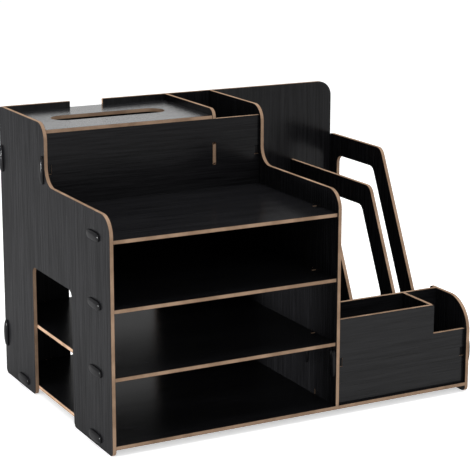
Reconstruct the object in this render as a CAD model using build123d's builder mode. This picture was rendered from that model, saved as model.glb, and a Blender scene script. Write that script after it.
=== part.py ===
"""Document organizer: slot-together boards held by push-in clips. Millimetres, +Z up.

The origin is at the middle of the footprint, on the desk. +X is the right and -Y the front.
"""
import os
from math import cos, radians, tan

from build123d import *

os.makedirs("parts", exist_ok=True)

# Main sizes
BOARD = 4.0  # thickness of every board
TRAY_WIDTH = 258.0  # clear width of the paper trays
BAY_WIDTH = 166.0  # clear width of the pen and file bay
DEPTH = 306.0  # over the sides, front to back
HEIGHT = 314.0  # over the tall sides
FOOT = 7.0  # gap under the base
TRAY_PITCH = 71.0  # floor to floor
TRAY_SETBACK = 2.5  # shelf fronts behind the sides' front edges
BACK_SETBACK = 4.0  # rear face of the back panel in front of the sides' rear edges

# Stepped outline of the tall sides
RAIL_HEIGHT = 24.0  # side walls above the top tray
UPPER_SETBACK = 170.0  # front edge of the tall part behind the front
UPPER_ROUND = 18.0
STEP_ROUND = 20.0
FRONT_ROUND = 20.0
FOOT_ROUND = 6.0

# Doorways in the left side and the back panel, open at the bottom
DOOR_WIDTH = 112.0  # in the back panel
DOOR_SETBACK = 101.0  # front leg of the left side
DOOR_REAR_LEG = 93.0  # rear leg of the left side
DOOR_ROUND = 8.0

# Tissue box on the top tray
RISER_SETBACK = 4.0
RISER_SLOT_LENGTH = 26.0
RISER_SLOT_WIDTH = 5.0
RISER_SLOT_GAP = 2.5  # slot past the tissue divider's tab at each end
TISSUE_WIDTH = 199.0  # clear width
TISSUE_ROUND = 9.0
LID_DROP = 7.0  # lid below the sides' top edges
LID_PLAY = 0.5
LID_SLOT_LENGTH = 136.0
LID_SLOT_WIDTH = 32.0
LID_TAB_WIDTH = 40.0

# Pen box
PEN_SETBACK = 4.0
PEN_DEPTH = 53.0  # clear depth
PEN_WIDTH = 120.0  # clear width of the wide compartment
PEN_HEIGHT = 95.0  # above the base
PEN_LOW_HEIGHT = 62.0  # front of the small compartment, above the base
PEN_CORNER = 2.0
PEN_WALL_OVERHANG = 8.0  # right side's low wall past the pen box
RIGHT_ROUND = 36.0

# File bay
FILE_DIVIDERS = 2
FILE_HEIGHT = 209.0  # dividers above the base
FILE_LEAN = 25.0  # degrees that the front bars lean back
FILE_FRAME = 25.0  # width of the bars round the cut-outs
FILE_ROUND = 10.0
FILE_TIP_ROUND = 12.0
FILE_VALLEY = 30.0  # bottom of the dip behind the pen box, above the base
BACK_ROUND = 18.0

# Push-in clips and the slots and notches that take them
CLIP_SLOT_LENGTH = 26.0
CLIP_SLOT_WIDTH = 5.0
CLIP_LIP = 2.5  # head past the slot, all round
CLIP_TIP = 4.0  # blunt ends of the head
CLIP_HEAD_HEIGHT = 3.5
CLIP_SHOULDER = 1.2  # height of the head's widest band
CLIP_DOME_TAPER = 35.0  # degrees that the head draws in above its shoulder
CLIP_NOTCH_WIDTH = 10.0
CLIP_NOTCH_DEPTH = 6.0
CLIP_PLAY = 0.15

# Where the clips sit
TRAY_CLIP_SETBACK = 40.0
BASE_CLIP_FRONT = 43.0
BASE_CLIP_REAR = 58.0
BACK_CLIP_RISE = 38.0  # above the base
BACK_CLIP_DROP = 59.0  # below the top edge
FILE_CLIP_DROP = 30.0  # below the file dividers' top edge
FILE_CLIP_SETBACK = 40.0
PEN_CLIP_RISE = 47.0
PEN_CLIP_LOW_RISE = 36.0
PEN_CLIP_OFFSET = 30.0

# Plain tabs
TAB_LENGTH = 24.0
TAB_PLAY = 0.15

# Places worked out from the sizes, from left to right
left_outer = -(3 * BOARD + TRAY_WIDTH + BAY_WIDTH) / 2
left_inner = left_outer + BOARD
mid_left = left_inner + TRAY_WIDTH
mid_right = mid_left + BOARD
right_inner = mid_right + BAY_WIDTH
right_outer = right_inner + BOARD
mid_centre = (mid_left + mid_right) / 2
tray_centre = (left_inner + mid_left) / 2
tissue_right = left_inner + TISSUE_WIDTH
tissue_mid = tissue_right + BOARD / 2
lid_centre = left_inner + TISSUE_WIDTH / 2
pen_split = mid_right + PEN_WIDTH
pen_step = pen_split + BOARD
pen_clip_x = mid_right + PEN_CLIP_OFFSET
file_space = (BAY_WIDTH - FILE_DIVIDERS * BOARD) / (FILE_DIVIDERS + 1)
file_lefts = [mid_right + (i + 1) * file_space + i * BOARD for i in range(FILE_DIVIDERS)]
file_mids = [x + BOARD / 2 for x in file_lefts]
bay_centre = (mid_right + right_inner) / 2

# From front to back
front = -DEPTH / 2
rear = DEPTH / 2
back_rear = rear - BACK_SETBACK
back_front = back_rear - BOARD
back_mid = back_front + BOARD / 2
tray_front = front + TRAY_SETBACK
upper_front = front + UPPER_SETBACK
riser_front = upper_front + RISER_SETBACK
riser_rear = riser_front + BOARD
riser_mid = riser_front + BOARD / 2
pen_front_face = front + PEN_SETBACK
pen_front_rear = pen_front_face + BOARD
pen_front_mid = pen_front_face + BOARD / 2
pen_back_front = pen_front_rear + PEN_DEPTH
pen_back_rear = pen_back_front + BOARD
pen_back_mid = pen_back_front + BOARD / 2
pen_middle = (pen_front_rear + pen_back_front) / 2
pen_wall_rear = pen_back_rear + PEN_WALL_OVERHANG
tissue_middle = (riser_rear + back_front) / 2
door_front = front + DOOR_SETBACK
door_rear = rear - DOOR_REAR_LEG
door_left = tray_centre - DOOR_WIDTH / 2
door_right = tray_centre + DOOR_WIDTH / 2
pier_clips = [(left_inner + door_left) / 2, (door_right + mid_left) / 2]
tray_clip = front + TRAY_CLIP_SETBACK
base_clips = [front + BASE_CLIP_FRONT, rear - BASE_CLIP_REAR]
floor_clips = [front + TRAY_CLIP_SETBACK, rear - BASE_CLIP_REAR]
file_floor_clips = [pen_back_rear + FILE_CLIP_SETBACK, rear - BASE_CLIP_REAR]

# From the desk upwards
base_top = FOOT + BOARD
base_mid = FOOT + BOARD / 2
shelf_bottoms = [FOOT + level * TRAY_PITCH for level in (1, 2, 3)]
shelf_mids = [z + BOARD / 2 for z in shelf_bottoms]
top_tray_bottom = shelf_bottoms[2]
top_tray_top = top_tray_bottom + BOARD
door_top = shelf_bottoms[1]
rail_top = top_tray_top + RAIL_HEIGHT
step_rise = HEIGHT - rail_top
step_round = min(STEP_ROUND, 0.45 * step_rise)
upper_round = min(UPPER_ROUND, 0.45 * step_rise)
lid_bottom = HEIGHT - LID_DROP - BOARD
riser_top = lid_bottom
riser_clip = (top_tray_top + riser_top) / 2
pen_top = base_top + PEN_HEIGHT
pen_low_top = base_top + PEN_LOW_HEIGHT
pen_clip = base_top + PEN_CLIP_RISE
pen_low_clip = base_top + PEN_CLIP_LOW_RISE
pen_tab = (base_top + pen_top) / 2
file_top = base_top + FILE_HEIGHT
file_clip = file_top - FILE_CLIP_DROP
valley = base_top + FILE_VALLEY
back_clip_low = base_top + BACK_CLIP_RISE
back_clip_high = HEIGHT - BACK_CLIP_DROP
slope = tan(radians(FILE_LEAN))


def board_face(*corners):
    """Face of a board from (across, up, corner radius) points, in the sketch in hand."""
    with BuildLine() as edge:
        FilletPolyline(
            *[(across, up) for across, up, _ in corners],
            radius=[corner for _, _, corner in corners],
            close=True,
        )
    make_face(edge.edges())


def cut_window(*corners):
    """Rounded opening in the board face in hand, from the same kind of points."""
    with BuildLine() as edge:
        FilletPolyline(
            *[(across, up) for across, up, _ in corners],
            radius=[corner for _, _, corner in corners],
            close=True,
        )
    make_face(edge.edges(), mode=Mode.SUBTRACT)


def cut_slots(*places, turn=0.0):
    """Slots that clips pass through, square-ended under the heads."""
    with Locations(*places):
        Rectangle(CLIP_SLOT_LENGTH, CLIP_SLOT_WIDTH, rotation=turn, mode=Mode.SUBTRACT)


def cut_notches(*places, turn=0.0):
    """Notches in a board's edge that clip tongues seat in."""
    with Locations(*places):
        Rectangle(CLIP_NOTCH_WIDTH, 2 * CLIP_NOTCH_DEPTH, rotation=turn, mode=Mode.SUBTRACT)


def cut_tab_slots(*places, turn=0.0):
    """Slots that plain tabs pass through."""
    with Locations(*places):
        Rectangle(
            TAB_LENGTH + 2 * TAB_PLAY, BOARD + 2 * TAB_PLAY, rotation=turn, mode=Mode.SUBTRACT
        )


def add_tabs(*places, turn=0.0):
    """Tabs one board thickness long, on a board's edge."""
    with Locations(*places):
        Rectangle(TAB_LENGTH, BOARD, rotation=turn)


def save(builder, name):
    """Labels a finished piece and writes it."""
    builder.part.label = name
    export_step(builder.part, f"parts/{name}.step")


# Left side
with BuildPart() as left_side:
    with BuildSketch(Plane.YZ.offset(left_outer)):
        board_face(
            (front, 0, FOOT_ROUND),
            (front, rail_top, FRONT_ROUND),
            (upper_front, rail_top, step_round),
            (upper_front, HEIGHT, upper_round),
            (rear, HEIGHT, FOOT_ROUND),
            (rear, 0, FOOT_ROUND),
            (door_rear, 0, FOOT_ROUND),
            (door_rear, door_top, DOOR_ROUND),
            (door_front, door_top, DOOR_ROUND),
            (door_front, 0, FOOT_ROUND),
        )
        cut_slots(*[(tray_clip, z) for z in shelf_mids])
        cut_slots(*[(y, base_mid) for y in base_clips])
        cut_slots(
            (riser_mid, riser_clip),
            (back_mid, back_clip_low),
            (back_mid, back_clip_high),
            turn=90,
        )
    extrude(amount=BOARD)
save(left_side, "left_side")

# Middle divider
with BuildPart() as middle_divider:
    with BuildSketch(Plane.YZ.offset(mid_left)):
        board_face(
            (front, base_top, 0),
            (front, rail_top, FRONT_ROUND),
            (upper_front, rail_top, step_round),
            (upper_front, HEIGHT, upper_round),
            (back_front, HEIGHT, 0),
            (back_front, base_top, 0),
        )
        cut_slots(*[(tray_clip, z) for z in shelf_mids])
        cut_slots(
            (riser_mid, riser_clip),
            (pen_front_mid, pen_clip),
            (pen_back_mid, pen_clip),
            turn=90,
        )
        cut_notches((back_front, back_clip_low), (back_front, back_clip_high), turn=90)
        cut_notches(*[(y, base_top) for y in floor_clips])
    extrude(amount=BOARD)
save(middle_divider, "middle_divider")


def lean_line(z, foot_y, foot_z):
    """Front-to-back place of a leaning edge at height z, from where the edge starts."""
    return foot_y + (z - foot_z) * slope


# Right side: pen box wall in front, leaning frame of the file bay behind
bar_rear = pen_wall_rear + FILE_FRAME / cos(radians(FILE_LEAN))
frame_floor = base_top + FILE_FRAME
side_ceiling = rail_top - FILE_FRAME
with BuildPart() as right_side:
    with BuildSketch(Plane.YZ.offset(right_inner)):
        board_face(
            (front, 0, FOOT_ROUND),
            (front, pen_top, RIGHT_ROUND),
            (pen_wall_rear, pen_top, PEN_CORNER),
            (pen_wall_rear, valley, PEN_CORNER),
            (lean_line(valley, pen_wall_rear, base_top), valley, PEN_CORNER),
            (lean_line(rail_top, pen_wall_rear, base_top), rail_top, FILE_TIP_ROUND),
            (rear, rail_top, FILE_TIP_ROUND),
            (rear, 0, FOOT_ROUND),
        )
        cut_window(
            (lean_line(frame_floor, bar_rear, base_top), frame_floor, FILE_ROUND),
            (lean_line(side_ceiling, bar_rear, base_top), side_ceiling, FILE_ROUND),
            (rear - FILE_FRAME, side_ceiling, FILE_ROUND),
            (rear - FILE_FRAME, frame_floor, FILE_ROUND),
        )
        cut_slots(*[(y, base_mid) for y in base_clips])
        cut_slots(
            (pen_front_mid, pen_low_clip),
            (pen_back_mid, pen_clip),
            (back_mid, back_clip_low),
            (back_mid, file_clip),
            turn=90,
        )
    extrude(amount=BOARD)
save(right_side, "right_side")

# Back panel, with the lid's seat in its top edge
lid_seat = LID_TAB_WIDTH / 2 + LID_PLAY
with BuildPart() as back_panel:
    with BuildSketch(Plane.XZ.offset(-back_rear)):
        board_face(
            (left_inner, 0, 0),
            (door_left, 0, FOOT_ROUND),
            (door_left, door_top, DOOR_ROUND),
            (door_right, door_top, DOOR_ROUND),
            (door_right, 0, FOOT_ROUND),
            (right_inner, 0, 0),
            (right_inner, HEIGHT, BACK_ROUND),
            (lid_centre + lid_seat, HEIGHT, 0),
            (lid_centre + lid_seat, lid_bottom, 0),
            (lid_centre - lid_seat, lid_bottom, 0),
            (lid_centre - lid_seat, HEIGHT, 0),
            (left_inner, HEIGHT, 0),
        )
        cut_slots(*[(x, z) for x in pier_clips for z in [base_mid, *shelf_mids]])
        cut_slots((bay_centre, base_mid))
        cut_slots(
            (mid_centre, back_clip_low),
            (mid_centre, back_clip_high),
            (tissue_mid, riser_clip),
            *[(x, z) for x in file_mids for z in (back_clip_low, file_clip)],
            turn=90,
        )
        cut_notches(
            (left_inner, back_clip_low),
            (left_inner, back_clip_high),
            (right_inner, back_clip_low),
            (right_inner, file_clip),
            turn=90,
        )
    extrude(amount=BOARD)
save(back_panel, "back_panel")

# Base
with BuildPart() as base:
    with BuildSketch(Plane.XY.offset(FOOT)):
        board_face(
            (left_inner, front, 0),
            (right_inner, front, 0),
            (right_inner, back_front, 0),
            (left_inner, back_front, 0),
        )
        cut_slots(*[(mid_centre, y) for y in floor_clips], turn=90)
        cut_slots(*[(x, y) for x in file_mids for y in file_floor_clips], turn=90)
        cut_slots((pen_clip_x, pen_back_mid))
        cut_tab_slots((pen_split + BOARD / 2, pen_middle), turn=90)
        cut_notches(*[(x, y) for x in (left_inner, right_inner) for y in base_clips], turn=90)
        cut_notches(*[(x, back_front) for x in [*pier_clips, bay_centre]])
    extrude(amount=BOARD)
save(base, "base")

# Shelves, the topmost of which carries the tissue box
riser_tabs = [tray_centre - TRAY_WIDTH / 4, tray_centre + TRAY_WIDTH / 4]
for name, bottom in zip(("lower_shelf", "upper_shelf", "top_tray"), shelf_bottoms):
    with BuildPart() as shelf:
        with BuildSketch(Plane.XY.offset(bottom)):
            board_face(
                (left_inner, tray_front, 0),
                (mid_left, tray_front, 0),
                (mid_left, back_front, 0),
                (left_inner, back_front, 0),
            )
            cut_notches((left_inner, tray_clip), (mid_left, tray_clip), turn=90)
            cut_notches(*[(x, back_front) for x in pier_clips])
            if name == "top_tray":
                cut_tab_slots(*[(x, riser_mid) for x in riser_tabs])
                cut_tab_slots((tissue_mid, tissue_middle), turn=90)
        extrude(amount=BOARD)
    save(shelf, name)

# Riser, the front wall of the tissue box, with a round-ended slot for the tissue divider's tab
with BuildPart() as riser:
    with BuildSketch(Plane.XZ.offset(-riser_rear)):
        board_face(
            (left_inner, top_tray_top, 0),
            (mid_left, top_tray_top, 0),
            (mid_left, riser_top, 0),
            (left_inner, riser_top, 0),
        )
        add_tabs(*[(x, top_tray_top - BOARD / 2) for x in riser_tabs])
        cut_notches((left_inner, riser_clip), (mid_left, riser_clip), turn=90)
        with Locations((tissue_mid, riser_clip)):
            SlotOverall(RISER_SLOT_LENGTH, RISER_SLOT_WIDTH, rotation=90, mode=Mode.SUBTRACT)
    extrude(amount=BOARD)
save(riser, "riser")

# Tissue divider, which laps over the riser's top edge
tip_room = HEIGHT - riser_top
with BuildPart() as tissue_divider:
    with BuildSketch(Plane.YZ.offset(tissue_right)):
        board_face(
            (riser_rear, top_tray_top, 0),
            (riser_rear, riser_top, 0),
            (riser_front, riser_top, 0),
            (riser_front, HEIGHT, min(TISSUE_ROUND, 0.9 * tip_room)),
            (back_front, HEIGHT, 0),
            (back_front, top_tray_top, 0),
        )
        add_tabs((tissue_middle, top_tray_top - BOARD / 2))
        with Locations((riser_mid, riser_clip)):
            Rectangle(BOARD, RISER_SLOT_LENGTH - 2 * RISER_SLOT_GAP)
        cut_notches((back_front, riser_clip), turn=90)
    extrude(amount=BOARD)
save(tissue_divider, "tissue_divider")

# Tissue lid, loose on the riser's top edge and in the back panel's seat
lid_left = left_inner + LID_PLAY
lid_right = tissue_right - LID_PLAY
lid_rear = back_front - LID_PLAY
lid_tab = LID_TAB_WIDTH / 2
with BuildPart() as tissue_lid:
    with BuildSketch(Plane.XY.offset(lid_bottom)):
        board_face(
            (lid_left, riser_front, 0),
            (lid_right, riser_front, 0),
            (lid_right, lid_rear, 0),
            (lid_centre + lid_tab, lid_rear, 0),
            (lid_centre + lid_tab, back_rear, 0),
            (lid_centre - lid_tab, back_rear, 0),
            (lid_centre - lid_tab, lid_rear, 0),
            (lid_left, lid_rear, 0),
        )
        with Locations((lid_centre, (riser_front + lid_rear) / 2)):
            SlotOverall(LID_SLOT_LENGTH, LID_SLOT_WIDTH, mode=Mode.SUBTRACT)
    extrude(amount=BOARD)
save(tissue_lid, "tissue_lid")

# Pen box
with BuildPart() as pen_front:
    with BuildSketch(Plane.XZ.offset(-pen_front_rear)):
        board_face(
            (mid_right, base_top, 0),
            (right_inner, base_top, 0),
            (right_inner, pen_low_top, 0),
            (pen_step, pen_low_top, 0),
            (pen_step, pen_top, PEN_CORNER),
            (mid_right, pen_top, 0),
        )
        cut_notches((mid_right, pen_clip), (right_inner, pen_low_clip), turn=90)
    extrude(amount=BOARD)
save(pen_front, "pen_front")

with BuildPart() as pen_back:
    with BuildSketch(Plane.XZ.offset(-pen_back_rear)):
        board_face(
            (mid_right, base_top, 0),
            (right_inner, base_top, 0),
            (right_inner, pen_top, 0),
            (mid_right, pen_top, 0),
        )
        cut_notches((mid_right, pen_clip), (right_inner, pen_clip), turn=90)
        cut_notches((pen_clip_x, base_top))
        cut_tab_slots((pen_split + BOARD / 2, pen_tab), turn=90)
    extrude(amount=BOARD)
save(pen_back, "pen_back")

with BuildPart() as pen_divider:
    with BuildSketch(Plane.YZ.offset(pen_split)):
        board_face(
            (pen_front_rear, base_top, 0),
            (pen_front_rear, pen_top, 0),
            (pen_back_front, pen_top, 0),
            (pen_back_front, base_top, 0),
        )
        add_tabs((pen_middle, base_mid))
        add_tabs((pen_back_mid, pen_tab), turn=90)
    extrude(amount=BOARD)
save(pen_divider, "pen_divider")

# File dividers: upright behind the pen box, then leaning back
frame_ceiling = file_top - FILE_FRAME
post_rear = pen_back_rear + FILE_FRAME
knee = pen_top - FILE_FRAME * tan(radians(FILE_LEAN / 2))
for name, left in zip(("file_divider_left", "file_divider_right"), file_lefts):
    with BuildPart() as file_divider:
        with BuildSketch(Plane.YZ.offset(left)):
            board_face(
                (pen_back_rear, base_top, 0),
                (pen_back_rear, pen_top, FILE_TIP_ROUND),
                (lean_line(file_top, pen_back_rear, pen_top), file_top, FILE_TIP_ROUND),
                (back_front, file_top, 0),
                (back_front, base_top, 0),
            )
            cut_window(
                (post_rear, frame_floor, FILE_ROUND),
                (post_rear, knee, FILE_ROUND),
                (lean_line(frame_ceiling, post_rear, knee), frame_ceiling, FILE_ROUND),
                (back_front - FILE_FRAME, frame_ceiling, FILE_ROUND),
                (back_front - FILE_FRAME, frame_floor, FILE_ROUND),
            )
            cut_notches(*[(y, base_top) for y in file_floor_clips])
            cut_notches((back_front, back_clip_low), (back_front, file_clip), turn=90)
        extrude(amount=BOARD)
    save(file_divider, name)


def oval_face(length, width, tip):
    """Long oval with blunt ends, in the sketch in hand."""
    with BuildLine() as edge:
        Line((length / 2, -tip / 2), (length / 2, tip / 2))
        ThreePointArc((length / 2, tip / 2), (0, width / 2), (-length / 2, tip / 2))
        Line((-length / 2, tip / 2), (-length / 2, -tip / 2))
        ThreePointArc((-length / 2, -tip / 2), (0, -width / 2), (length / 2, -tip / 2))
    make_face(edge.edges())


# One clip, head up: domed head, neck through the slot, tongue in the notch
head_length = CLIP_SLOT_LENGTH + 2 * CLIP_LIP
head_width = CLIP_SLOT_WIDTH + 2 * CLIP_LIP
with BuildPart() as clip:
    with BuildSketch():
        oval_face(head_length, head_width, CLIP_TIP)
    extrude(amount=CLIP_SHOULDER)
    with BuildSketch(Plane.XY.offset(CLIP_SHOULDER)):
        oval_face(head_length, head_width, CLIP_TIP)
    extrude(amount=CLIP_HEAD_HEIGHT - CLIP_SHOULDER, taper=CLIP_DOME_TAPER)
    with BuildSketch():
        Rectangle(CLIP_SLOT_LENGTH - 2 * CLIP_PLAY, CLIP_SLOT_WIDTH - 2 * CLIP_PLAY)
    extrude(amount=-BOARD)
    with BuildSketch(Plane.XY.offset(-BOARD)):
        Rectangle(CLIP_NOTCH_WIDTH - 2 * CLIP_PLAY, CLIP_SLOT_WIDTH - 2 * CLIP_PLAY)
    extrude(amount=CLIP_PLAY - CLIP_NOTCH_DEPTH)


def seats(outward, along, *points):
    """Clip places: the way the heads face, the way they lie, and points on the board's face."""
    return [Plane(origin=point, x_dir=along, z_dir=outward).location for point in points]


LEFT, RIGHT, BACK, DOWN = (-1, 0, 0), (1, 0, 0), (0, 1, 0), (0, 0, -1)
SIDEWAYS, FRONT_TO_BACK, UPRIGHT = (1, 0, 0), (0, 1, 0), (0, 0, 1)
clip_groups = {
    "clips_left_side": seats(
        LEFT,
        FRONT_TO_BACK,
        *[(left_outer, tray_clip, z) for z in shelf_mids],
        *[(left_outer, y, base_mid) for y in base_clips],
    )
    + seats(
        LEFT,
        UPRIGHT,
        (left_outer, riser_mid, riser_clip),
        (left_outer, back_mid, back_clip_low),
        (left_outer, back_mid, back_clip_high),
    ),
    "clips_right_side": seats(
        RIGHT,
        FRONT_TO_BACK,
        *[(right_outer, y, base_mid) for y in base_clips],
    )
    + seats(
        RIGHT,
        UPRIGHT,
        (right_outer, pen_front_mid, pen_low_clip),
        (right_outer, pen_back_mid, pen_clip),
        (right_outer, back_mid, back_clip_low),
        (right_outer, back_mid, file_clip),
    ),
    "clips_middle_divider": seats(
        RIGHT, FRONT_TO_BACK, *[(mid_right, tray_clip, z) for z in shelf_mids]
    )
    + seats(RIGHT, UPRIGHT, (mid_right, riser_mid, riser_clip))
    + seats(
        LEFT, UPRIGHT, (mid_left, pen_front_mid, pen_clip), (mid_left, pen_back_mid, pen_clip)
    ),
    "clips_back_panel": seats(
        BACK,
        SIDEWAYS,
        *[(x, back_rear, z) for x in pier_clips for z in [base_mid, *shelf_mids]],
        (bay_centre, back_rear, base_mid),
    )
    + seats(
        BACK,
        UPRIGHT,
        (mid_centre, back_rear, back_clip_low),
        (mid_centre, back_rear, back_clip_high),
        (tissue_mid, back_rear, riser_clip),
        *[(x, back_rear, z) for x in file_mids for z in (back_clip_low, file_clip)],
    ),
    "clips_base": seats(
        DOWN,
        FRONT_TO_BACK,
        *[(mid_centre, y, FOOT) for y in floor_clips],
        *[(x, y, FOOT) for x in file_mids for y in file_floor_clips],
    )
    + seats(DOWN, SIDEWAYS, (pen_clip_x, pen_back_mid, FOOT)),
}
for name, places in clip_groups.items():
    with BuildPart() as clip_group:
        with Locations(*places):
            add(clip.part)
    save(clip_group, name)
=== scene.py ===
"""Looks of the document organizer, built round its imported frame. Metres, +Z up, -Y the front.

The boards keep their shapes and get a black wood-grain laminate with raw cut edges.
Moulded clips stand for the plain ones of the frame.
"""
from math import copysign, cos, pi, radians, sin

import bmesh
import bpy
from mathutils import Matrix, Vector


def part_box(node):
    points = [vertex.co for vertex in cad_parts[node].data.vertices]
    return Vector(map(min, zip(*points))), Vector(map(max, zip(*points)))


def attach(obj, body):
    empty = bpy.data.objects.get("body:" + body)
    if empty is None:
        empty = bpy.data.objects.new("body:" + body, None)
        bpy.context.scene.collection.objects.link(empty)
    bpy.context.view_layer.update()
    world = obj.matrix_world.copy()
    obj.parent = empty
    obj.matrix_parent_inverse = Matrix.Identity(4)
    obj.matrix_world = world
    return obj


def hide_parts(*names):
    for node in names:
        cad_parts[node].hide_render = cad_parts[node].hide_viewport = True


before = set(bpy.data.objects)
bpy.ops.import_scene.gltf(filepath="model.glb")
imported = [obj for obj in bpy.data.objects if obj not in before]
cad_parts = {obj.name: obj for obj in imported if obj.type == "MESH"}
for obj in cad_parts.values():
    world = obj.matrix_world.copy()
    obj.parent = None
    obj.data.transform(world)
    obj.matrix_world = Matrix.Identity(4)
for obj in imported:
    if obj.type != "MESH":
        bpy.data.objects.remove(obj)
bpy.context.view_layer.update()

# Camera, fitted to the photograph
IMAGE_PIXELS = 470
FOCAL_PIXELS = 1635.0
SENSOR_WIDTH = 36.0  # mm
CAMERA_PLACE = Vector((-0.8369, -1.5779, 0.6132))
CAMERA_AZIMUTH = radians(27.68)
CAMERA_ELEVATION = radians(12.63)
CAMERA_SHIFT = (0.0191, -0.0745)

# Boards, with the axis that the grain runs along and the share of the faces that is smooth
ACROSS, UPRIGHT = 0, 2
BOARDS = {
    "left_side": (UPRIGHT, 0.15),
    "middle_divider": (UPRIGHT, 0.27),
    "right_side": (UPRIGHT, 0.27),
    "back_panel": (UPRIGHT, 0.27),
    "base": (ACROSS, 0.25),
    "lower_shelf": (ACROSS, 0.25),
    "upper_shelf": (ACROSS, 0.25),
    "top_tray": (ACROSS, 0.2),
    "riser": (ACROSS, 0.19),
    "tissue_divider": (UPRIGHT, 0.27),
    "tissue_lid": (ACROSS, 0.95),
    "pen_front": (ACROSS, 0.335),
    "pen_back": (ACROSS, 0.27),
    "pen_divider": (UPRIGHT, 0.27),
    "file_divider_left": (UPRIGHT, 0.27),
    "file_divider_right": (UPRIGHT, 0.27),
}
FACE_LIMIT = 0.5  # part of the normal along the thickness, over which a spot is on a face

# Laminate. A noise is its scale per metre, its detail and its roughness.
BLACK_DEEP = (0.0028, 0.0028, 0.0032, 1)
BLACK_WORN = (0.0108, 0.0108, 0.012, 1)
GRAIN_BROAD = 480.0  # streaks per metre across the grain
GRAIN_FINE = 1100.0
GRAIN_STRETCH = 60.0  # how much longer than wide a streak is
BROAD_PART = 0.4
FINE_PART = 0.6
FIGURE_LIMITS = (0.36, 0.64)  # noise at the bottom of a groove and on a ridge
PORE_FINE = 1150.0
PORE_STRETCH = 16.0
PORE_LIMITS = (0.58, 0.72)
STREAK_NOISE = (1.0, 3.0, 0.6)  # on a place that is scaled already
CLOUD_NOISE = (9.0, 3.0, 0.5)
WORN_BY_FIGURE = 0.8
WORN_BY_CLOUD = 0.2
SHINE_SPREAD = 0.06  # change of the smooth share from grooves to ridges
SHINE_MIDDLE = 0.5  # figure at which the share is the board's own
SHEEN = 0.14  # roughness of the smooth share, and what the marks add to it
SHEEN_BY_FIGURE = 0.06
SHEEN_BY_CLOUD = 0.06
SHEEN_BY_PORES = 0.05
RIDGE_HEIGHT = 0.6  # parts of the relief
PORE_DEPTH = 0.5
RELIEF_STRENGTH = 0.2
RELIEF_DEPTH = 0.0002

# Raw edges
RAW_DARK = (0.18, 0.112, 0.07, 1)
RAW_PALE = (0.48, 0.327, 0.226, 1)
RAW_SKIN = (0.012, 0.009, 0.008, 1)
SPECKLE_NOISE = (1500.0, 3.0, 0.7)
PATCH_NOISE = (38.0, 3.0, 0.6)
PATCH_LIMITS = (0.3, 0.7)
PALE_BY_SPECKLE = 0.55
PALE_BY_PATCH = 0.45
RAW_ROUGHNESS = 0.82
SKIN_START = 0.84  # share of the half thickness where the laminate skin starts
SKIN_COVER = 0.9

# Plastic of the clips
CLIP_BLACK = (0.004, 0.004, 0.0045, 1)
CLIP_GREY = (0.009, 0.009, 0.01, 1)
CLIP_GRAIN_NOISE = (2600.0, 2.0, 0.5)
CLIP_FLOW_NOISE = (60.0, 2.0, 0.5)
CLIP_RELIEF_STRENGTH = 0.05
CLIP_RELIEF_DEPTH = 0.0001
CLIP_ROUGHNESS = 0.8
CLIP_SHEEN = 0.08  # roughness of the smooth share, and what the marks add to it
CLIP_SHEEN_BY_FLOW = 0.08
CLIP_SHEEN_BY_GRAIN = 0.04
CLIP_SHINE = 0.17  # smooth share, and what the flow marks add to it
CLIP_SHINE_BY_FLOW = 0.08

# Shape of the clips
HEAD_HEIGHT = 0.0035
HEAD_RIM = 0.0011
HEAD_LIP = 0.0025  # head past its slot
HEAD_SQUARENESS = 3.0  # 2 is an ellipse, and a high number a rectangle
HEAD_ENDS = 0.49  # share of a clip's length, from its middle, past which only the head reaches
DOME_SQUARENESS = 2.2  # at the top of the head
DOME_LENGTH_LEFT = 0.15  # shares of the head that stay flat at its top
DOME_WIDTH_LEFT = 0.3
DOME_STEPS = 9
NECK_SQUARENESS = 12.0
RING_STEPS = 32
TONGUE_LENGTH = 0.01
TONGUE_RIBS = 3
TONGUE_SINK = 0.0006  # tongue below the faces of its notched board
RIB_DEPTH = 0.0012
RIB_END = 0.5  # shares of the length from one rib to the next
GROOVE_START = 0.6
GROOVE_END = 0.9
CLIP_PLAY = 0.00015
CREASE = radians(38)
TURN_SPREAD = radians(0.5)
CLIP_SEED = 7
SAME_POINT = 1e-6

# Floor and light
WHITE = (1, 1, 1, 1)
DARK = (0, 0, 0, 1)
FLOOR_REACH = 30.0
FLOOR_PALE = (0.86, 0.86, 0.86, 1)
FLOOR_GLOW = (0.55, 0.55, 0.55, 1)
FLOOR_ROUGHNESS = 0.9
WORLD_LIGHT = 0.5
LIT_POINT = Vector((0, 0, 0.15))
LAMPS = {  # place, side and power in watts
    "front_box": ((0.3, -2.2, 1.0), 1.3, 8.0),
    "key_box": ((-0.9, -1.9, 1.5), 0.35, 4.0),
    "top_box": ((0.1, -0.1, 2.2), 1.2, 28.0),
    "glint_box": ((-1.8, 0.35, 0.16), 0.3, 42.0),
}

# Sockets that share a name with others of their node
MIX_FACTOR, MIX_LOW, MIX_HIGH, MIX_COLOUR = 0, 6, 7, 2
SHADER_FACTOR, SHADER_LOW, SHADER_HIGH = 0, 1, 2
RANDOM_LOW, RANDOM_HIGH, RANDOM_NUMBER = 2, 3, 1


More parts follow.
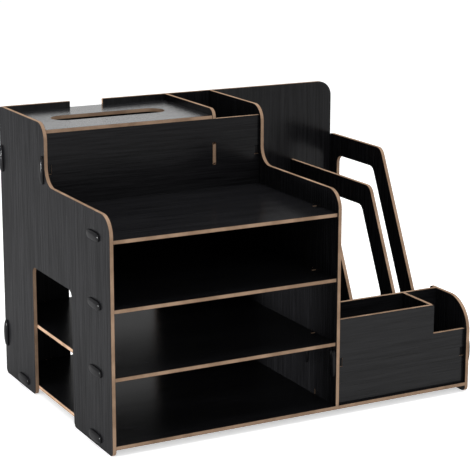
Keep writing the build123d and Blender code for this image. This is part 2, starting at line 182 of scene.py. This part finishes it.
class Wire:
    """A node's output that works in sums: each operator adds a Math node."""

    def __init__(self, nodes, socket):
        self.nodes = nodes
        self.socket = socket

    def out(self, name):
        """Another output of the same node."""
        return Wire(self.nodes, self.socket.node.outputs[name])

    def math(self, operation, *others):
        """A Math node on this value and others."""
        values = dict(enumerate((self, *others)))
        return self.nodes.add("ShaderNodeMath", values, {"operation": operation})

    def __add__(self, other):
        return self.math("ADD", other)

    def __sub__(self, other):
        return self.math("SUBTRACT", other)

    def __rsub__(self, other):
        return self.nodes.add("ShaderNodeMath", {0: other, 1: self}, {"operation": "SUBTRACT"})

    def __mul__(self, other):
        return self.math("MULTIPLY", other)

    def __truediv__(self, other):
        return self.math("DIVIDE", other)

    def __neg__(self):
        return self.math("MULTIPLY", -1.0)

    def __abs__(self):
        return self.math("ABSOLUTE")

    __radd__ = __add__
    __rmul__ = __mul__

    def above(self, limit):
        """1 where this is over the limit, else 0."""
        return self.math("GREATER_THAN", limit)

    def ramp(self, low, high):
        """0 at low, 1 at high, smooth between."""
        values = {"Value": self, "From Min": low, "From Max": high}
        return self.nodes.add("ShaderNodeMapRange", values, {"interpolation_type": "SMOOTHSTEP"})


class Nodes:
    """A node tree and the way to fill it."""

    def __init__(self, tree):
        self.tree = tree
        tree.nodes.clear()

    def add(self, kind, values=None, settings=None, output=0):
        """Adds a node, sets it up, fills or links its sockets and gives one of its outputs."""
        node = self.tree.nodes.new(kind)
        for key, value in (settings or {}).items():
            setattr(node, key, value)
        for key, value in (values or {}).items():
            if isinstance(value, Wire):
                self.tree.links.new(value.socket, node.inputs[key])
            else:
                node.inputs[key].default_value = value
        return Wire(self, node.outputs[output]) if node.outputs else None

    def blend(self, factor, low, high):
        """Colour between two colours."""
        values = {MIX_FACTOR: factor, MIX_LOW: low, MIX_HIGH: high}
        return self.add("ShaderNodeMix", values, {"data_type": "RGBA"}, MIX_COLOUR)

    def noise(self, place, scale, detail, roughness):
        """Value noise at a place."""
        values = {"Vector": place, "Scale": scale, "Detail": detail, "Roughness": roughness}
        return self.add("ShaderNodeTexNoise", values)

    def streaks(self, place, along, scale, stretch):
        """Noise drawn out along one axis, as wood grain is."""
        scales = [scale] * 3
        scales[along] = scale / stretch
        drawn = self.add("ShaderNodeMapping", {"Vector": place, "Scale": scales})
        return self.noise(drawn, *STREAK_NOISE)

    def bump(self, height, strength, distance):
        """Normal of a surface with this relief."""
        values = {"Height": height, "Strength": strength, "Distance": distance}
        return self.add("ShaderNodeBump", values)

    def shader(self, **sockets):
        """A Principled shader with these sockets."""
        values = {key.replace("_", " "): value for key, value in sockets.items()}
        return self.add("ShaderNodeBsdfPrincipled", values)

    def show(self, surface):
        """Makes a shader the surface of the material."""
        self.add("ShaderNodeOutputMaterial", {"Surface": surface})

    def show_part(self, share, matt, smooth):
        """Makes the surface of the material from a matt shader and a share of a smooth one."""
        values = {SHADER_FACTOR: share, SHADER_LOW: matt, SHADER_HIGH: smooth}
        self.show(self.add("ShaderNodeMixShader", values))

    def seen(self):
        """1 for rays that show the background: from the camera, off a gloss or through glass."""
        path = self.add("ShaderNodeLightPath", output="Is Camera Ray")
        reflected = path.math("MAXIMUM", path.out("Is Glossy Ray"))
        return reflected.math("MAXIMUM", path.out("Is Transmission Ray"))


def new_finish(name):
    """A new material and its empty node tree."""
    material = bpy.data.materials.new(name)
    material.use_nodes = True
    return material, Nodes(material.node_tree)


def board_finish(name, grain, smooth_share):
    """Laminate on a board's two faces and raw fibreboard on its cut edges."""
    low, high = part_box(name)
    size = high - low
    thin = min(range(3), key=lambda axis: size[axis])
    middle = (low[thin] + high[thin]) / 2
    axis = "XYZ"[thin]

    material, nodes = new_finish(f"{name}_laminate")
    place = nodes.add("ShaderNodeTexCoord", output="Object")
    facing = nodes.add("ShaderNodeSeparateXYZ", {"Vector": place.out("Normal")}, output=axis)
    spot = nodes.add("ShaderNodeSeparateXYZ", {"Vector": place}, output=axis)
    on_face = abs(facing).above(FACE_LIMIT)

    broad = nodes.streaks(place, grain, GRAIN_BROAD, GRAIN_STRETCH)
    fine = nodes.streaks(place, grain, GRAIN_FINE, GRAIN_STRETCH)
    pores = nodes.streaks(place, grain, PORE_FINE, PORE_STRETCH).ramp(*PORE_LIMITS)
    cloud = nodes.noise(place, *CLOUD_NOISE)
    figure = (broad * BROAD_PART + fine * FINE_PART).ramp(*FIGURE_LIMITS)
    black = nodes.blend(figure * WORN_BY_FIGURE + cloud * WORN_BY_CLOUD, BLACK_DEEP, BLACK_WORN)
    sheen = SHEEN + figure * SHEEN_BY_FIGURE + cloud * SHEEN_BY_CLOUD + pores * SHEEN_BY_PORES
    shine = smooth_share + (figure - SHINE_MIDDLE) * SHINE_SPREAD

    depth = abs(spot - middle) / (size[thin] / 2)
    skin = depth.ramp(SKIN_START, 1.0)
    speckle = nodes.noise(place, *SPECKLE_NOISE)
    patch = nodes.noise(place, *PATCH_NOISE).ramp(*PATCH_LIMITS)
    fibre = nodes.blend(speckle * PALE_BY_SPECKLE + patch * PALE_BY_PATCH, RAW_DARK, RAW_PALE)
    raw = nodes.blend(skin * SKIN_COVER, fibre, RAW_SKIN)

    grooves = figure * RIDGE_HEIGHT - pores * PORE_DEPTH
    height = on_face * grooves + (1 - on_face) * speckle
    relief = nodes.bump(height, RELIEF_STRENGTH, RELIEF_DEPTH)
    matt = nodes.shader(
        Base_Color=nodes.blend(on_face, raw, black),
        Roughness=RAW_ROUGHNESS,
        Specular_IOR_Level=0.0,
        Normal=relief,
    )
    smooth = nodes.shader(Base_Color=black, Roughness=sheen, Normal=relief)
    nodes.show_part(on_face * shine, matt, smooth)
    return material


def clip_finish():
    """Moulded plastic, smooth in part, with faint flow marks."""
    material, nodes = new_finish("clip_plastic")
    place = nodes.add("ShaderNodeTexCoord", output="Object")
    grain = nodes.noise(place, *CLIP_GRAIN_NOISE)
    flow = nodes.noise(place, *CLIP_FLOW_NOISE)
    relief = nodes.bump(grain, CLIP_RELIEF_STRENGTH, CLIP_RELIEF_DEPTH)
    colour = nodes.blend(flow, CLIP_BLACK, CLIP_GREY)
    sheen = CLIP_SHEEN + flow * CLIP_SHEEN_BY_FLOW + grain * CLIP_SHEEN_BY_GRAIN
    shine = CLIP_SHINE + flow * CLIP_SHINE_BY_FLOW
    matt = nodes.shader(
        Base_Color=colour,
        Roughness=CLIP_ROUGHNESS,
        Specular_IOR_Level=0.0,
        Normal=relief,
    )
    smooth = nodes.shader(Base_Color=colour, Roughness=sheen, Normal=relief)
    nodes.show_part(shine, matt, smooth)
    return material


def piece_from(data, name):
    """A new object at the origin that holds a mesh, a lamp or a camera."""
    piece = bpy.data.objects.new(name, data)
    bpy.context.scene.collection.objects.link(piece)
    return piece


def solids_of(node):
    """Corner points of each separate solid in a CAD node."""
    shape = bmesh.new()
    shape.from_mesh(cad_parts[node].data)
    bmesh.ops.remove_doubles(shape, verts=shape.verts, dist=SAME_POINT)
    left = set(shape.verts)
    solids = []
    while left:
        todo = [left.pop()]
        found = []
        while todo:
            point = todo.pop()
            found.append(point.co.copy())
            near = {edge.other_vert(point) for edge in point.link_edges} & left
            left -= near
            todo.extend(near)
        solids.append(found)
    shape.free()
    return solids


def clip_seat(points):
    """Where a clip's head sits, the way it faces, the way it lies, and the clip's size."""
    low = Vector(map(min, zip(*points)))
    high = Vector(map(max, zip(*points)))
    size = high - low
    width, reach, length = sorted(range(3), key=lambda axis: size[axis])
    middle = (low + high) / 2
    end = HEAD_ENDS * size[length]
    ends = [point for point in points if abs(point[length] - middle[length]) > end]
    side = 1 if sum(point[reach] - middle[reach] for point in ends) > 0 else -1
    outward = Vector((0, 0, 0))
    outward[reach] = side
    along = Vector((0, 0, 0))
    along[length] = 1
    seat = middle + outward * (size[reach] / 2 - HEAD_HEIGHT)
    return seat, outward, along, (size[length], size[width], size[reach])


def seat_place(seat):
    """Place of a seat, which puts the seats in the same order each time."""
    return tuple(seat[0])


def ring(shape, length, width, squareness, height):
    """Ring at one height: an oval that nears a rectangle as its squareness grows."""
    points = []
    for step in range(RING_STEPS):
        turn = 2 * pi * (step + 0.5) / RING_STEPS
        x = copysign(abs(cos(turn)) ** (2 / squareness), cos(turn)) * length / 2
        y = copysign(abs(sin(turn)) ** (2 / squareness), sin(turn)) * width / 2
        points.append(shape.verts.new((x, y, height)))
    return points


def join_rings(shape, rings):
    """Skin through a stack of rings, closed at both ends."""
    for lower, upper in zip(rings, rings[1:]):
        for here in range(len(lower)):
            there = (here + 1) % len(lower)
            shape.faces.new((lower[here], lower[there], upper[there], upper[here]))
    shape.faces.new(reversed(rings[0]))
    shape.faces.new(rings[-1])


def clip_pattern(length, width, reach, board):
    """One clip, head up, with its seat at the origin: ribbed tongue, neck and domed head."""
    neck_length = length - 2 * HEAD_LIP - 2 * CLIP_PLAY
    neck_width = width - 2 * HEAD_LIP - 2 * CLIP_PLAY
    tongue_length = TONGUE_LENGTH - 2 * CLIP_PLAY
    groove_length = tongue_length - RIB_DEPTH
    tongue_width = board - 2 * TONGUE_SINK
    groove_width = tongue_width - RIB_DEPTH
    tongue_end = HEAD_HEIGHT - reach
    rib = -(tongue_end + board) / TONGUE_RIBS
    shape = bmesh.new()
    rings = []
    for step in range(TONGUE_RIBS):
        start = tongue_end + rib * step
        for share in (0, RIB_END):
            rings.append(ring(shape, tongue_length, tongue_width, NECK_SQUARENESS, start + share * rib))
        for share in (GROOVE_START, GROOVE_END):
            rings.append(ring(shape, groove_length, groove_width, NECK_SQUARENESS, start + share * rib))
    rings.append(ring(shape, neck_length, neck_width, NECK_SQUARENESS, -board))
    rings.append(ring(shape, neck_length, neck_width, NECK_SQUARENESS, 0))
    rings.append(ring(shape, length, width, HEAD_SQUARENESS, 0))
    for step in range(DOME_STEPS + 1):
        turn = pi / 2 * step / DOME_STEPS
        dome_length = length * (DOME_LENGTH_LEFT + (1 - DOME_LENGTH_LEFT) * cos(turn))
        dome_width = width * (DOME_WIDTH_LEFT + (1 - DOME_WIDTH_LEFT) * cos(turn))
        squareness = HEAD_SQUARENESS + (DOME_SQUARENESS - HEAD_SQUARENESS) * sin(turn)
        rise = HEAD_RIM + (HEAD_HEIGHT - HEAD_RIM) * sin(turn)
        rings.append(ring(shape, dome_length, dome_width, squareness, rise))
    join_rings(shape, rings)
    bmesh.ops.recalc_face_normals(shape, faces=shape.faces)
    for face in shape.faces:
        face.smooth = True
    for edge in shape.edges:
        edge.smooth = edge.calc_face_angle() < CREASE
    mesh = bpy.data.meshes.new("clip_pattern")
    shape.to_mesh(mesh)
    shape.free()
    return piece_from(mesh, "clip_pattern")


def clip_tree(pattern, finish):
    """Geometry nodes that set a clip on each point, turned as the point says, and their inputs."""
    tree = bpy.data.node_groups.new("clips_on_seats", "GeometryNodeTree")
    inputs = {
        "Clip": ("NodeSocketObject", pattern),
        "Finish": ("NodeSocketMaterial", finish),
        "Turn spread": ("NodeSocketFloat", TURN_SPREAD),
        "Seed": ("NodeSocketInt", CLIP_SEED),
    }
    tree.interface.new_socket("Geometry", in_out="INPUT", socket_type="NodeSocketGeometry")
    tree.interface.new_socket("Geometry", in_out="OUTPUT", socket_type="NodeSocketGeometry")
    values = {}
    for name, (kind, value) in inputs.items():
        socket = tree.interface.new_socket(name, in_out="INPUT", socket_type=kind)
        values[socket.identifier] = value

    nodes = Nodes(tree)
    seats = nodes.add("NodeGroupInput", output="Geometry")
    spread = seats.out("Turn spread")
    clip = nodes.add("GeometryNodeObjectInfo", {"Object": seats.out("Clip")}, output="Geometry")
    turn = nodes.add("GeometryNodeInputNamedAttribute", {"Name": "turn"}, {"data_type": "FLOAT_VECTOR"})
    chance = {RANDOM_LOW: -spread, RANDOM_HIGH: spread, "Seed": seats.out("Seed")}
    twist = nodes.add("FunctionNodeRandomValue", chance, {"data_type": "FLOAT"}, RANDOM_NUMBER)
    placing = {"Points": seats, "Instance": clip, "Rotation": turn}
    placed = nodes.add("GeometryNodeInstanceOnPoints", placing)
    askew = nodes.add("ShaderNodeCombineXYZ", {"Z": twist})
    turned = nodes.add("GeometryNodeRotateInstances", {"Instances": placed, "Rotation": askew})
    solid = nodes.add("GeometryNodeRealizeInstances", {"Geometry": turned})
    painting = {"Geometry": solid, "Material": seats.out("Finish")}
    painted = nodes.add("GeometryNodeSetMaterial", painting)
    nodes.add("NodeGroupOutput", {"Geometry": painted})
    return tree, values


def seat_points(name, seats):
    """Bare points at the seats, each with its turn."""
    mesh = bpy.data.meshes.new(name)
    mesh.from_pydata([seat for seat, _, _, _ in seats], [], [])
    turns = mesh.attributes.new("turn", "FLOAT_VECTOR", "POINT")
    for index, (_, outward, along, _) in enumerate(seats):
        axes = Matrix((along, outward.cross(along), outward)).transposed()
        turns.data[index].vector = axes.to_euler()
    return piece_from(mesh, name)


def set_clips():
    """Moulded clips in place of the frame's plain ones."""
    groups = sorted(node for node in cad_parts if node.startswith("clips_"))
    seats = {group: sorted(map(clip_seat, solids_of(group)), key=seat_place) for group in groups}
    length, width, reach = seats[groups[0]][0][3]
    board_low, board_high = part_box("base")
    pattern = clip_pattern(length, width, reach, board_high.z - board_low.z)
    tree, values = clip_tree(pattern, clip_finish())
    for group in groups:
        points = seat_points(f"{group}_seats", seats[group])
        modifier = points.modifiers.new("clips", "NODES")
        modifier.node_group = tree
        for key, value in values.items():
            modifier[key] = value
        graph = bpy.context.evaluated_depsgraph_get()
        mesh = bpy.data.meshes.new_from_object(points.evaluated_get(graph))
        points.modifiers.remove(modifier)
        bpy.data.objects.remove(points)
        piece = piece_from(mesh, f"moulded_{group}")
        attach(piece, "frame")
        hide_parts(group)
    bpy.data.objects.remove(pattern)


def dress_boards():
    """Gives every board its own laminate."""
    for name, (grain, smooth_share) in BOARDS.items():
        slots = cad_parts[name].data.materials
        slots.clear()
        slots.append(board_finish(name, grain, smooth_share))


def set_camera():
    """Camera at the photograph's place, with its framing."""
    lens = bpy.data.cameras.new("camera")
    lens.sensor_width = SENSOR_WIDTH
    lens.lens = FOCAL_PIXELS / IMAGE_PIXELS * SENSOR_WIDTH
    lens.shift_x, lens.shift_y = CAMERA_SHIFT
    camera = piece_from(lens, "camera")
    level = cos(CAMERA_ELEVATION)
    ahead = Vector((sin(CAMERA_AZIMUTH) * level, cos(CAMERA_AZIMUTH) * level, -sin(CAMERA_ELEVATION)))
    camera.location = CAMERA_PLACE
    camera.rotation_euler = ahead.to_track_quat("-Z", "Y").to_euler()
    bpy.context.scene.camera = camera


def set_floor():
    """Pale floor that keeps the shadow and shows nearly white."""
    material, nodes = new_finish("floor_pale")
    glow = nodes.blend(nodes.seen(), DARK, FLOOR_GLOW)
    pale = nodes.shader(
        Base_Color=FLOOR_PALE,
        Roughness=FLOOR_ROUGHNESS,
        Emission_Color=glow,
        Emission_Strength=1.0,
    )
    nodes.show(pale)
    corners = [(-1, -1, 0), (1, -1, 0), (1, 1, 0), (-1, 1, 0)]
    mesh = bpy.data.meshes.new("floor")
    mesh.from_pydata([Vector(corner) * FLOOR_REACH for corner in corners], [], [(0, 1, 2, 3)])
    mesh.materials.append(material)
    piece_from(mesh, "floor")


def soft_box(name, place, size, power):
    """Square soft lamp aimed at the object."""
    lamp = bpy.data.lights.new(name, "AREA")
    lamp.size = size
    lamp.energy = power
    box = piece_from(lamp, name)
    box.location = place
    box.rotation_euler = (LIT_POINT - Vector(place)).to_track_quat("-Z", "Y").to_euler()


def set_light():
    """White surround, softer as light than as background, and soft boxes."""
    world = bpy.data.worlds.new("studio")
    world.use_nodes = True
    bpy.context.scene.world = world
    nodes = Nodes(world.node_tree)
    strength = WORLD_LIGHT + nodes.seen() * (1 - WORLD_LIGHT)
    surround = nodes.add("ShaderNodeBackground", {"Color": WHITE, "Strength": strength})
    nodes.add("ShaderNodeOutputWorld", {"Surface": surround})
    for name, (place, size, power) in LAMPS.items():
        soft_box(name, place, size, power)


dress_boards()
set_clips()
set_camera()
set_floor()
set_light()
bpy.context.scene.view_settings.view_transform = "Standard"

bpy.context.view_layer.update()
